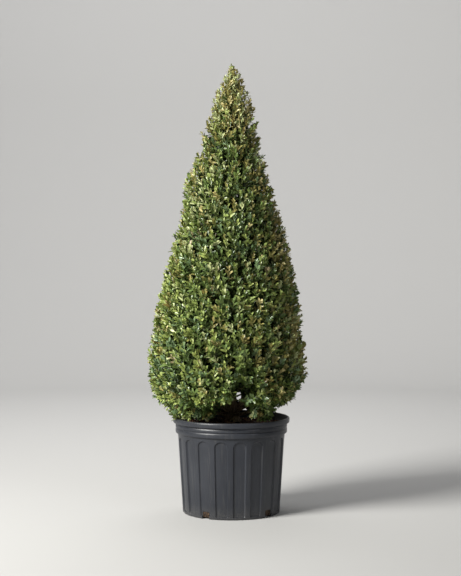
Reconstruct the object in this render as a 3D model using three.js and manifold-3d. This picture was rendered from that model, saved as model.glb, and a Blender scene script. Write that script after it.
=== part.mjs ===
// A clipped boxwood cone growing in a black nursery container.
//
// Frame: millimetres, +Z up, origin at the centre of the container's flat underside, which stands on the
// floor. The front of the plant faces -Y. An azimuth is measured in degrees from the front, towards +X.
//
// The container is a thin-walled tub with a rolled lip, a ribbed collar, arch-topped flutes and four drain
// notches. The potting mix fills it. One trunk with a root flare stands in the mix and runs up through the
// clipped cone of foliage to near its tip. Five stems rise from the trunk into the cone, and four low boughs
// reach out to four skirts of foliage that hang round the foot, with an opening left between them in front.

import * as THREE from "three";
import { mergeVertices } from "three/addons/utils/BufferGeometryUtils.js";
import Module from "manifold-3d";

const wasm = await Module();
wasm.setup();

// ---- Driving dimensions, in millimetres and degrees ----

const CLEARANCE = 0.3; // left between neighbouring solids
const FINE = 1e-3; // vertices nearer than this are one vertex

// Container
const POT_HEIGHT = 291;
const LIP_RADIUS = 178;
const LIP_HEIGHT = 15;
const LIP_WIDTH = 6;
const NECK_RADIUS = 172;
const COLLAR_RADIUS = 170.5;
const COLLAR_TOP = POT_HEIGHT - 20.5;
const COLLAR_GROOVE = POT_HEIGHT - 31;
const COLLAR_BOTTOM = POT_HEIGHT - 47;
const WALL_TOP_RADIUS = 163.5;
const WALL_BOTTOM_RADIUS = 148.5;
const HEEL_RADIUS = 5; // the rounded edge between wall and underside
const WALL_THICKNESS = 3;
const POT_SIDES = 64;
const FLUTE_COUNT = 18;
const FLUTE_WIDTH = 14.4; // degrees of the wall
const FLUTE_DEPTH = 1.7;
const FLUTE_TOP = POT_HEIGHT - 58;
const FLUTE_BOTTOM = 8;
const FLUTE_AZIMUTH = 8.8; // of the first flute
const NOTCH_FLUTES = [-2, 2, 7, 11]; // the flutes with a drain notch at their foot
const NOTCH_WIDTH = 24;
const NOTCH_HEIGHT = 22;
const NOTCH_DEPTH = 20;

// Potting mix
const SOIL_DEPTH_BELOW_RIM = 24;
const SOIL_MOUND = 9; // how much higher the mix stands at the trunk
const SOIL_MOUND_REACH = 60;
const SOIL_UNEVENNESS = 1.5;

// Trunk, stems and boughs
const TRUNK_TOP = 1285;
const TRUNK_RADIUS = 17;
const TRUNK_TIP_RADIUS = 2.4;
const FLARE_RADIUS = 15; // added to the trunk's radius at the ground
const FLARE_HEIGHT = 16;
const STEM_RADIUS = 9;
const STEM_TIP_RADIUS = 6.5;
const BOUGH_RADIUS = 6;
const BOUGH_TIP_RADIUS = 4;

// Foliage
const TIP_HEIGHT = 1366; // of the cone, above the floor
const CONE_RADIUS = 240;
const CONE_QUARTER_WAVE = 1030; // the cone's outline is a quarter sine wave of this length, from the tip down
const WIDEST_HEIGHT = 450; // below this the outline turns in again
const TUCK = 235; // half height of the ellipse that it turns in on
const TIP_FULLNESS = 15; // the tip is blunter than the sine wave by this much
const TIP_FULL_LENGTH = 135;
const CONE_FOOT = 340;
const CONE_HOLLOW = 14; // how far the underside rises to its middle
const ARCH_AZIMUTH = 3; // of the middle of the raised edge over the opening in front
const ARCH_RISE = 26;
const ARCH_SPREAD = 17;
const ARCH_REACH = 90; // how high above the foot the raising dies out
const CONE_SHIFT = -12; // the widest part stands this far to the left of the container's axis
const TIP_SHIFT = 3;
const LUMPINESS = 0.022;
const SKIRT_CENTRE_RADIUS = 146;
const SKIRT_CENTRE_HEIGHT = 328;
const SKIRT_BREADTH = 44; // half widths of a skirt's section
const SKIRT_DEPTH = 31;

// ---- Geometry helpers ----

const radians = THREE.MathUtils.degToRad;
const mix = THREE.MathUtils.lerp;

// The point at an azimuth, a radius and a height.
function around(azimuth, radius, height) {
  const a = radians(azimuth);
  return new THREE.Vector3(radius * Math.sin(a), -radius * Math.cos(a), height);
}

// A closed geometry as a solid for cutting.
function solidOf(geometry) {
  const bare = geometry.clone();
  bare.deleteAttribute("normal");
  bare.deleteAttribute("uv");
  const merged = mergeVertices(bare, FINE);
  return new wasm.Manifold(
    new wasm.Mesh({
      numProp: 3,
      vertProperties: merged.getAttribute("position").array,
      triVerts: new Uint32Array(merged.getIndex().array),
    }),
  );
}

// A solid as a geometry for a mesh.
function geometryOf(solid) {
  const mesh = solid.getMesh();
  return new THREE.BufferGeometry()
    .setAttribute("position", new THREE.BufferAttribute(mesh.vertProperties, 3))
    .setIndex(new THREE.BufferAttribute(mesh.triVerts, 1));
}

// A closed skin over rings of points. Each ring runs anticlockwise as seen from the far end of the row, and
// the first and last are closed by a fan round their middle.
function skin(rings) {
  const sides = rings[0].length;
  const points = rings.flat();
  const faces = [];
  const corner = (ring, side) => ring * sides + (side % sides);
  for (let r = 0; r + 1 < rings.length; r++) {
    for (let s = 0; s < sides; s++) {
      faces.push(corner(r, s), corner(r, s + 1), corner(r + 1, s));
      faces.push(corner(r, s + 1), corner(r + 1, s + 1), corner(r + 1, s));
    }
  }
  const middle = (ring) =>
    ring.reduce((sum, p) => sum.add(p), new THREE.Vector3()).divideScalar(sides);
  const last = rings.length - 1;
  const [foot, head] = [points.length, points.length + 1];
  points.push(middle(rings[0]), middle(rings[last]));
  for (let s = 0; s < sides; s++) {
    faces.push(foot, corner(0, s + 1), corner(0, s));
    faces.push(head, corner(last, s), corner(last, s + 1));
  }
  return new THREE.BufferGeometry().setFromPoints(points).setIndex(faces);
}

// A tapering limb round a curve. radiusAt takes the share of the length and the azimuth round the limb.
function limb(curve, radiusAt, sides, steps) {
  const rings = [];
  for (let i = 0; i <= steps; i++) {
    const t = i / steps;
    const centre = curve.getPointAt(t);
    const along = i === 0 && curve.flatFoot ? new THREE.Vector3(0, 0, 1) : curve.getTangentAt(t);
    const right = new THREE.Vector3(0, 1, 0).cross(along).normalize();
    const back = along.clone().cross(right);
    const ring = [];
    for (let s = 0; s < sides; s++) {
      const a = (2 * Math.PI * s) / sides;
      const r = radiusAt(t, a);
      ring.push(
        centre.clone().addScaledVector(right, r * Math.cos(a)).addScaledVector(back, r * Math.sin(a)),
      );
    }
    rings.push(ring);
  }
  return skin(rings);
}

// ---- Container ----

function wallRadius(height) {
  return mix(WALL_BOTTOM_RADIUS, WALL_TOP_RADIUS, height / COLLAR_BOTTOM);
}

// The tub's section, from the middle of the underside out, up the outside, over the lip and down inside.
function tubProfile() {
  const outside = new THREE.Path();
  outside.moveTo(0, 0);
  outside.lineTo(WALL_BOTTOM_RADIUS - HEEL_RADIUS, 0);
  outside.quadraticCurveTo(WALL_BOTTOM_RADIUS, 0, wallRadius(HEEL_RADIUS), HEEL_RADIUS);
  outside.lineTo(WALL_TOP_RADIUS, COLLAR_BOTTOM);
  outside.lineTo(COLLAR_RADIUS - 2.5, COLLAR_BOTTOM + 2);
  outside.lineTo(COLLAR_RADIUS, COLLAR_GROOVE - 2);
  outside.lineTo(COLLAR_RADIUS - 1.6, COLLAR_GROOVE);
  outside.lineTo(COLLAR_RADIUS, COLLAR_GROOVE + 2);
  outside.lineTo(COLLAR_RADIUS, COLLAR_TOP);
  outside.lineTo(NECK_RADIUS - 2.5, COLLAR_TOP + 2);
  outside.lineTo(NECK_RADIUS, POT_HEIGHT - LIP_HEIGHT - 2);
  outside.lineTo(LIP_RADIUS - 1.5, POT_HEIGHT - LIP_HEIGHT);
  outside.lineTo(LIP_RADIUS, POT_HEIGHT - LIP_WIDTH);
  outside.quadraticCurveTo(LIP_RADIUS, POT_HEIGHT, LIP_RADIUS - LIP_WIDTH / 2, POT_HEIGHT);
  outside.lineTo(LIP_RADIUS - LIP_WIDTH, POT_HEIGHT - 2);
  outside.lineTo(wallRadius(COLLAR_BOTTOM) - WALL_THICKNESS, COLLAR_BOTTOM);
  outside.lineTo(wallRadius(WALL_THICKNESS) - WALL_THICKNESS, WALL_THICKNESS);
  outside.lineTo(0, WALL_THICKNESS);
  return outside.getPoints(2);
}

// The outline of one flute, an upright slab with an arched top that reaches through the wall.
function fluteOutline(azimuth) {
  const half = wallRadius(FLUTE_TOP) * Math.sin(radians(FLUTE_WIDTH / 2));
  const footHalf = wallRadius(FLUTE_BOTTOM) * Math.sin(radians(FLUTE_WIDTH / 2));
  const shape = new THREE.Shape();
  shape.moveTo(-footHalf, FLUTE_BOTTOM);
  shape.lineTo(footHalf, FLUTE_BOTTOM);
  shape.lineTo(half, FLUTE_TOP - half);
  shape.absarc(0, FLUTE_TOP - half, half, 0, Math.PI);
  shape.closePath();
  const slab = new THREE.ExtrudeGeometry(shape, { depth: 60, bevelEnabled: false, curveSegments: 6 });
  slab.rotateX(Math.PI / 2).translate(0, -WALL_BOTTOM_RADIUS + 30, 0);
  return solidOf(slab.rotateZ(radians(azimuth)));
}

// The layer of the wall that the flutes are sunk into.
function fluteLayer() {
  const section = [
    [wallRadius(0) - FLUTE_DEPTH, 0],
    [wallRadius(0) + 20, 0],
    [wallRadius(COLLAR_BOTTOM) + 20, COLLAR_BOTTOM],
    [wallRadius(COLLAR_BOTTOM) - FLUTE_DEPTH, COLLAR_BOTTOM],
    [wallRadius(0) - FLUTE_DEPTH, 0],
  ];
  const points = section.map(([x, y]) => new THREE.Vector2(x, y));
  return solidOf(new THREE.LatheGeometry(points, POT_SIDES).rotateX(Math.PI / 2));
}

function fluteAzimuth(index) {
  return FLUTE_AZIMUTH + (index * 360) / FLUTE_COUNT;
}

// The tool that cuts a drain notch through the heel.
function notchTool(azimuth) {
  const block = new THREE.BoxGeometry(NOTCH_WIDTH, NOTCH_DEPTH * 2, NOTCH_HEIGHT * 2);
  block.translate(0, -WALL_BOTTOM_RADIUS, 0);
  block.rotateZ(radians(azimuth));
  return solidOf(block);
}

function potGeometry() {
  let tub = solidOf(new THREE.LatheGeometry(tubProfile(), POT_SIDES).rotateX(Math.PI / 2));
  const layer = fluteLayer();
  for (let i = 0; i < FLUTE_COUNT; i++) {
    tub = tub.subtract(fluteOutline(fluteAzimuth(i)).intersect(layer));
  }
  for (const i of NOTCH_FLUTES) tub = tub.subtract(notchTool(fluteAzimuth(i)));
  return geometryOf(tub);
}

// ---- Potting mix ----

const SOIL_LEVEL = POT_HEIGHT - SOIL_DEPTH_BELOW_RIM;
const GROUND = SOIL_LEVEL + SOIL_MOUND; // where the trunk is cut off flat

// The tub's inner radius at a height: it widens faster above the foot of the collar.
function innerRadius(height) {
  const atCollar = WALL_TOP_RADIUS - WALL_THICKNESS;
  if (height < COLLAR_BOTTOM) return wallRadius(height) - WALL_THICKNESS;
  const share = (height - COLLAR_BOTTOM) / (POT_HEIGHT - 2 - COLLAR_BOTTOM);
  return mix(atCollar, LIP_RADIUS - LIP_WIDTH, share);
}

function soilGeometry() {
  const sides = 32;
  const shrink = (radius) => (radius - 2 * CLEARANCE) * Math.cos(Math.PI / POT_SIDES);
  const floor = WALL_THICKNESS + CLEARANCE;
  const top = (azimuth, radius) => {
    const mound = SOIL_MOUND * Math.exp(-((Math.max(0, radius - 38) / SOIL_MOUND_REACH) ** 2));
    const ripple = Math.sin(radians(azimuth * 5) + radius / 17) + Math.sin(radians(azimuth * 8) - radius / 11);
    return SOIL_LEVEL + mound + SOIL_UNEVENNESS * ripple * Math.min(1, (radius - 38) / 30) * 0.5;
  };
  const ringAt = (radius, heightAt) =>
    Array.from({ length: sides }, (_, s) => {
      const azimuth = (360 * s) / sides;
      return around(azimuth, radius, heightAt(azimuth, radius));
    });
  const flat = (height) => () => height;
  const rings = [
    ringAt(40, flat(floor)),
    ringAt(shrink(innerRadius(floor)), flat(floor)),
    ringAt(shrink(innerRadius(COLLAR_BOTTOM)), flat(COLLAR_BOTTOM)),
    ...[innerRadius(SOIL_LEVEL - 4), 128, 95, 65, 38].map((r, i) => ringAt(i ? r : shrink(r), top)),
  ];
  return skin(rings);
}

// ---- Trunk, stems and boughs ----

const trunkCurve = new THREE.CatmullRomCurve3([
  new THREE.Vector3(0, 0, GROUND + CLEARANCE),
  new THREE.Vector3(1, 1, GROUND + 45),
  new THREE.Vector3(-6, 3, 480),
  new THREE.Vector3(-9, -3, 700),
  new THREE.Vector3(-4, 4, 950),
  new THREE.Vector3(1, 0, TRUNK_TOP),
]);
trunkCurve.flatFoot = true;

// The trunk swells into root buttresses at the ground.
function trunkRadius(share, around) {
  const height = share * trunkCurve.getLength();
  const flare = FLARE_RADIUS * Math.exp(-height / FLARE_HEIGHT);
  const buttress = 1 + 0.28 * Math.cos(5 * around + 0.6);
  return mix(TRUNK_RADIUS, TRUNK_TIP_RADIUS, share ** 0.8) + flare * buttress;
}

function trunkGeometry(grow = 0) {
  // Steps crowd together at the flare.
  const steps = 20;
  const sides = 10;
  const eased = new THREE.CatmullRomCurve3(
    Array.from({ length: steps + 1 }, (_, i) => trunkCurve.getPointAt((i / steps) ** 1.9)),
  );
  const shares = eased.points.map((p) => (p.z - eased.points[0].z) / (TRUNK_TOP - eased.points[0].z));
  const rings = eased.points.map((centre, i) => {
    const along = i === 0 ? new THREE.Vector3(0, 0, 1) : trunkCurve.getTangentAt((i / steps) ** 1.9);
    const right = new THREE.Vector3(0, 1, 0).cross(along).normalize();
    const back = along.clone().cross(right);
    return Array.from({ length: sides }, (_, s) => {
      const a = (2 * Math.PI * s) / sides;
      const r = trunkRadius(shares[i], a) + grow;
      return centre.clone().addScaledVector(right, r * Math.cos(a)).addScaledVector(back, r * Math.sin(a));
    });
  });
  return skin(rings);
}

// A limb that leaves the trunk at a height and climbs to a point, bowing a little on the way.
function limbCurve(azimuth, from, radius, to, bow) {
  const share = (from - GROUND) / (TRUNK_TOP - GROUND);
  const start = trunkCurve.getPointAt(share);
  start.z = from;
  const end = around(azimuth, radius, to);
  const middle = start.clone().lerp(end, 0.5).add(around(azimuth, bow, 0));
  return new THREE.CatmullRomCurve3([start, middle, end]);
}

const STEMS = [
  { name: "stem_front_left", azimuth: -53, from: 298, radius: 62, to: 400, bow: 6 },
  { name: "stem_front", azimuth: 0, from: 320, radius: 58, to: 402, bow: 7 },
  { name: "stem_right", azimuth: 96, from: 296, radius: 66, to: 400, bow: 8 },
  { name: "stem_back", azimuth: 172, from: 304, radius: 60, to: 402, bow: 6 },
  { name: "stem_left", azimuth: 250, from: 312, radius: 64, to: 404, bow: 7 },
];

// ---- Foliage ----

// How far the clipped face stands in or out of its true outline, as a share of the radius.
function lumps(azimuth, height) {
  const a = radians(azimuth);
  return (
    LUMPINESS *
    (0.45 * Math.sin(3 * a + height / 83) +
      0.35 * Math.sin(5 * a - height / 47) +
      0.35 * Math.sin(8 * a + height / 29 + 1.3))
  );
}

// The clipped outline's radius at a height.
function coneRadius(height) {
  const drop = TIP_HEIGHT - height;
  const wave = Math.sin((Math.PI / 2) * Math.min(1, drop / CONE_QUARTER_WAVE));
  const blunt = TIP_FULLNESS * Math.exp(-((drop / TIP_FULL_LENGTH) ** 2)) * Math.sqrt(Math.min(1, drop / 30));
  const tuck = Math.max(0, WIDEST_HEIGHT - height) / TUCK;
  return (CONE_RADIUS * wave + blunt) * Math.sqrt(1 - tuck * tuck);
}

// Where the cone's own axis passes at a height.
function coneAxis(height) {
  const share = THREE.MathUtils.clamp((height - WIDEST_HEIGHT) / (TIP_HEIGHT - WIDEST_HEIGHT), 0, 1);
  return mix(CONE_SHIFT, TIP_SHIFT, share);
}

// How far the foot of the cone is raised over the opening in front.
function archRise(azimuth, height) {
  const turn = ((azimuth - ARCH_AZIMUTH + 540) % 360) - 180;
  const fade = THREE.MathUtils.clamp(1 - (height - CONE_FOOT) / ARCH_REACH, 0, 1);
  return ARCH_RISE * fade * Math.exp(-((turn / ARCH_SPREAD) ** 2));
}

function coneSolid(grow = 0) {
  const sides = 27;
  const ringAt = (height, radius) =>
    Array.from({ length: sides }, (_, s) => {
      const azimuth = ARCH_AZIMUTH + (360 * s) / sides;
      const lumpy = radius * (1 + lumps(azimuth, height)) + grow;
      const point = around(azimuth, lumpy, height + archRise(azimuth, height));
      return point.add(new THREE.Vector3(coneAxis(height), 0, 0));
    });
  const foot = CONE_FOOT - grow;
  const rings = [ringAt(foot + CONE_HOLLOW, 45), ringAt(foot + CONE_HOLLOW / 2, 120), ringAt(foot, 180)];
  const steps = 20;
  for (let i = 0; i <= steps; i++) {
    const height = mix(foot + 8, TIP_HEIGHT - 3, 1 - (1 - i / steps) ** 1.25);
    rings.push(ringAt(height, coneRadius(height)));
  }
  return solidOf(skin(rings));
}

// A skirt is a lumpy roll of foliage that hangs under the cone's edge, between two azimuths.
const SKIRTS = [
  { name: "skirt_left", from: -102, to: -20, drop: 0, bough: -58 },
  { name: "skirt_right", from: 20, to: 56, drop: 2, bough: 40 },
  { name: "skirt_back_right", from: 130, to: 172, drop: 6, bough: 150 },
  { name: "skirt_back_left", from: 184, to: 248, drop: 4, bough: 214 },
];

function skirtSolid({ from, to, drop }, grow = 0) {
  const sides = 10;
  const steps = 10;
  const rings = [];
  for (let i = 0; i <= steps; i++) {
    const share = i / steps;
    const azimuth = mix(from, to, share);
    const swell = Math.sqrt(Math.max(0.05, 1 - (2 * share - 1) ** 4)) * (1 + 0.12 * Math.sin(9 * share + from));
    const ring = [];
    for (let s = 0; s < sides; s++) {
      const a = (-2 * Math.PI * s) / sides; // from the outside down
      const uneven = 1 + 0.07 * Math.sin(3 * a + 7 * share);
      const radius = SKIRT_CENTRE_RADIUS + (SKIRT_BREADTH * swell * uneven + grow) * Math.cos(a);
      const height = SKIRT_CENTRE_HEIGHT + drop + (SKIRT_DEPTH * swell * uneven + grow) * Math.sin(a);
      ring.push(around(azimuth, radius, height).add(new THREE.Vector3(CONE_SHIFT / 2, 0, 0)));
    }
    rings.push(ring);
  }
  return solidOf(skin(rings));
}

// ---- Assembly ----

const FINISH = {
  plastic: { color: 0x3c3f45, roughness: 0.45, metalness: 0 },
  mix: { color: 0x3a2c20, roughness: 0.95, metalness: 0 },
  bark: { color: 0x7b6f58, roughness: 0.85, metalness: 0 },
  leaf: { color: 0x5f6f34, roughness: 0.5, metalness: 0 },
};

const topiary = new THREE.Group();

function add(name, geometry, finish) {
  const mesh = new THREE.Mesh(geometry, new THREE.MeshStandardMaterial(FINISH[finish]));
  mesh.name = name;
  topiary.add(mesh);
}

const trunk = solidOf(trunkGeometry());
const trunkRoom = solidOf(trunkGeometry(CLEARANCE));
const coneRoom = coneSolid(CLEARANCE);
const cone = coneSolid().subtract(trunkRoom);

// A limb is cut back where it leaves the trunk and where it enters its foliage.
function limbSolid(curve, base, tip, foliageRoom) {
  const radiusAt = (share) => mix(base, tip, share);
  return solidOf(limb(curve, radiusAt, 8, 5)).subtract(trunkRoom).subtract(foliageRoom);
}

// The largest body of a solid: what a cut leaves beyond it is dropped.
function largest(solid) {
  return solid.decompose().reduce((best, s) => (s.volume() > best.volume() ? s : best));
}

add("pot", potGeometry(), "plastic");
add("potting_mix", soilGeometry(), "mix");
add("trunk", geometryOf(trunk), "bark");
for (const { name, azimuth, from, radius, to, bow } of STEMS) {
  const curve = limbCurve(azimuth, from, radius, to, bow);
  add(name, geometryOf(largest(limbSolid(curve, STEM_RADIUS, STEM_TIP_RADIUS, coneRoom))), "bark");
}
for (const skirt of SKIRTS) {
  const curve = limbCurve(skirt.bough, 292, SKIRT_CENTRE_RADIUS, SKIRT_CENTRE_HEIGHT + skirt.drop, 4);
  const room = skirtSolid(skirt, CLEARANCE).add(coneRoom);
  const bough = largest(limbSolid(curve, BOUGH_RADIUS, BOUGH_TIP_RADIUS, room));
  add(skirt.name.replace("skirt", "bough"), geometryOf(bough), "bark");
}
for (const skirt of SKIRTS) {
  add(skirt.name, geometryOf(largest(skirtSolid(skirt).subtract(coneRoom))), "leaf");
}
add("clipped_cone", geometryOf(cone), "leaf");

export default topiary;
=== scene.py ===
"""A clipped boxwood cone in its nursery container: leaves, wood, potting mix and moulded plastic."""

import logging
import math
from dataclasses import dataclass, field
from enum import Enum

import bmesh
import bpy
import numpy as np
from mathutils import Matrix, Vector, noise
from mathutils.bvhtree import BVHTree


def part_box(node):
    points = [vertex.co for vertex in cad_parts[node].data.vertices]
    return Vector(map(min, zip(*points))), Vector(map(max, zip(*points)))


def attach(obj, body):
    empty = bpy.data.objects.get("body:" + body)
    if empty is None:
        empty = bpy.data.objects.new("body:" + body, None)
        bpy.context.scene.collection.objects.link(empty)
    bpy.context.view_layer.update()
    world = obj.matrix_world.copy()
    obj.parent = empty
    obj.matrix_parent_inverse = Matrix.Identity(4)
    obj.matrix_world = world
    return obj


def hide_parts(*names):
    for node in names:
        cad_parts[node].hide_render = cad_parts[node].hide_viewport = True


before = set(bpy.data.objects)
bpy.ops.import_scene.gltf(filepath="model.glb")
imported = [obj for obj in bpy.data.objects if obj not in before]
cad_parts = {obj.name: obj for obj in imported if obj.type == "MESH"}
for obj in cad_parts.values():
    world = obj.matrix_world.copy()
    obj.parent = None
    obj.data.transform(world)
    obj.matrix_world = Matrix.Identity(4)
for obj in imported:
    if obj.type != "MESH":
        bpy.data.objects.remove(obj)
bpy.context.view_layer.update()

LOG = logging.getLogger("topiary")
Array = np.ndarray
Color = tuple[float, float, float, float]
Place = tuple[float, float, float]
Section = tuple[tuple[float, float], ...]
UP = np.array([0.0, 0.0, 1.0])
LEVEL = np.array([1, 1, 0])
ROOT = "root"
PLANT: Place = (0.0, 0.0, 0.65)


# ---------------------------------------------------------------------------
# Numbers and directions
# ---------------------------------------------------------------------------


def paint(code: str) -> Color:
    """Turn a hex code such as "7f8a4a" into a linear colour.

    Args:
        code: Six hex digits of an sRGB colour.

    Returns:
        Red, green, blue and alpha, with alpha 1.
    """
    shares = [int(code[i : i + 2], 16) / 255 for i in (0, 2, 4)]
    linear = [c / 12.92 if c <= 0.04045 else ((c + 0.055) / 1.055) ** 2.4 for c in shares]
    return (*linear, 1.0)


def unit(vectors: Array) -> Array:
    """Scale each row of an array to length 1."""
    return vectors / np.maximum(np.linalg.norm(vectors, axis=-1, keepdims=True), 1e-9)


def outward(azimuth: Array) -> Array:
    """Give the level direction at each azimuth, in degrees from the front (-Y) towards +X."""
    a = np.radians(azimuth)
    return np.stack([np.sin(a), -np.cos(a), np.zeros_like(a)], axis=-1)


def azimuth_of(points: Array) -> Array:
    """Give the azimuth of each point round the upright axis."""
    return np.degrees(np.arctan2(points[:, 0], -points[:, 1]))


def turn_from(azimuth: Array, middle: float, period: float = 360.0) -> Array:
    """Give how far azimuths are past the nearest middle, where a middle comes round every period."""
    return (azimuth - middle + period / 2) % period - period / 2


def smoothstep(low: float, high: float, value: Array) -> Array:
    """Ease from 0 at low to 1 at high."""
    t = np.clip((value - low) / (high - low), 0, 1)
    return t * t * (3 - 2 * t)


def bell(value: Array, middle: float, width: float) -> Array:
    """Rise to 1 at a middle and fall off on both sides of it."""
    return np.exp(-(((value - middle) / width) ** 2))


def rotate(first: Array, second: Array, angle: Array) -> tuple[Array, Array]:
    """Turn coordinates, one shape a row, by each row's angle from the first axis to the second."""
    cos, sin = np.cos(angle)[:, None], np.sin(angle)[:, None]
    return first * cos - second * sin, first * sin + second * cos


@dataclass(frozen=True)
class Relief:
    """Smooth random hills: their height, the size of a cell along each axis and a seed."""

    height: float
    cell: Place
    seed: float

    def at(self, points: Array) -> Array:
        """How high the hills are at points, from about -height to height."""
        spots = points / np.asarray(self.cell) + self.seed * 17.31
        return self.height * np.array([noise.noise(Vector(spot)) for spot in spots])


# ---------------------------------------------------------------------------
# Meshes and nodes
# ---------------------------------------------------------------------------


def put(name: str, data: bpy.types.ID) -> bpy.types.Object:
    """Make an object of a mesh, a lamp or a camera and put it in the scene.

    Args:
        name: The object's name.
        data: What it shows.

    Returns:
        The object.
    """
    made = bpy.data.objects.new(name, data)
    bpy.context.scene.collection.objects.link(made)
    return made


def applied(made: bpy.types.Object) -> bpy.types.Mesh:
    """Give an object's mesh as its modifiers leave it."""
    return bpy.data.meshes.new_from_object(made.evaluated_get(bpy.context.evaluated_depsgraph_get()))


def piece(
    name: str,
    points: Array,
    faces: Array,
    materials: list[bpy.types.Material],
    slots: Array | None = None,
) -> bpy.types.Object:
    """Make one mesh object that rides on the root body.

    Args:
        name: The piece's name.
        points: Vertices, one a row.
        faces: Vertex numbers, one face a row, all with as many corners.
        materials: The piece's material slots.
        slots: The material slot of each face, or None for the first.

    Returns:
        The object, smooth shaded.
    """
    mesh = bpy.data.meshes.new(name)
    corners = faces.ravel()
    mesh.vertices.add(len(points))
    mesh.vertices.foreach_set("co", np.asarray(points, np.float32).ravel())
    mesh.loops.add(len(corners))
    mesh.loops.foreach_set("vertex_index", corners.astype(np.int32))
    mesh.polygons.add(len(faces))
    mesh.polygons.foreach_set("loop_start", np.arange(0, len(corners), faces.shape[1], dtype=np.int32))
    for material in materials:
        mesh.materials.append(material)
    if slots is not None:
        mesh.polygons.foreach_set("material_index", slots.astype(np.int32))
    mesh.update(calc_edges=True)
    mesh.shade_smooth()
    made = put(name, mesh)
    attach(made, ROOT)
    return made


def report(made: bpy.types.Object) -> None:
    """Log a finished piece's name and its size in triangles."""
    made.data.calc_loop_triangles()
    LOG.info("%s: %d triangles", made.name, len(made.data.loop_triangles))


def crease(made: bpy.types.Object, degrees: float) -> None:
    """Mark the edges of a mesh that are sharper than an angle, so that shading breaks there.

    Args:
        made: The mesh object.
        degrees: The angle.
    """
    work = bmesh.new()
    work.from_mesh(made.data)
    for edge in work.edges:
        edge.smooth = len(edge.link_faces) == 2 and edge.calc_face_angle() < math.radians(degrees)
    work.to_mesh(made.data)
    work.free()


def lathe(rings: list[Array], low: float, high: float | None = None) -> tuple[Array, Array, Array]:
    """Join rings of points round the upright axis into a skin.

    Args:
        rings: Rings with as many points each, from the underside outwards, up and back in.
        low: The height of the middle of the underside.
        high: The height of the middle of the top, or None to leave the top open.

    Returns:
        The vertices, the four-cornered faces, and the triangles that close the underside and the top.
    """
    count = len(rings[0])
    grid = np.arange(len(rings) * count).reshape(-1, count)
    after = np.roll(grid, -1, axis=1)
    quads = np.stack([grid[:-1], after[:-1], after[1:], grid[1:]], axis=-1).reshape(-1, 4)
    middles = [low * UP]
    fans = [np.stack([np.full(count, grid.size), after[0], grid[0]], axis=-1)]
    if high is not None:
        middles.append(high * UP)
        fans.append(np.stack([np.full(count, grid.size + 1), grid[-1], after[-1]], axis=-1))
    return np.concatenate([*rings, middles]), quads, np.concatenate(fans)


def tubes(paths: Array, radii: Array, sides: int) -> tuple[Array, Array]:
    """Sweep a small polygon along many paths of as many points each.

    Args:
        paths: Points, shaped (limbs, points, 3).
        radii: The radius at each point, shaped (limbs, points).
        sides: Corners of the section.

    Returns:
        The vertices and the four-cornered faces of all the tubes together.
    """
    limbs, stations, _ = paths.shape
    along = unit(paths[:, -1] - paths[:, 0])
    helper = np.where(np.abs(along[:, 2:]) > 0.8, [[1.0, 0.0, 0.0]], [[0.0, 0.0, 1.0]])
    first = unit(np.cross(along, helper))
    second = np.cross(along, first)
    turn = 2 * np.pi * np.arange(sides) / sides
    ring = first[:, None] * np.cos(turn)[:, None] + second[:, None] * np.sin(turn)[:, None]
    points = paths[:, :, None] + radii[:, :, None, None] * ring[:, None]
    corner = np.arange(limbs * stations * sides).reshape(limbs, stations, sides)
    after = np.roll(corner, -1, axis=2)
    faces = np.stack([corner[:, :-1], after[:, :-1], after[:, 1:], corner[:, 1:]], axis=-1)
    return points.reshape(-1, 3), faces.reshape(-1, 4)


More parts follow.
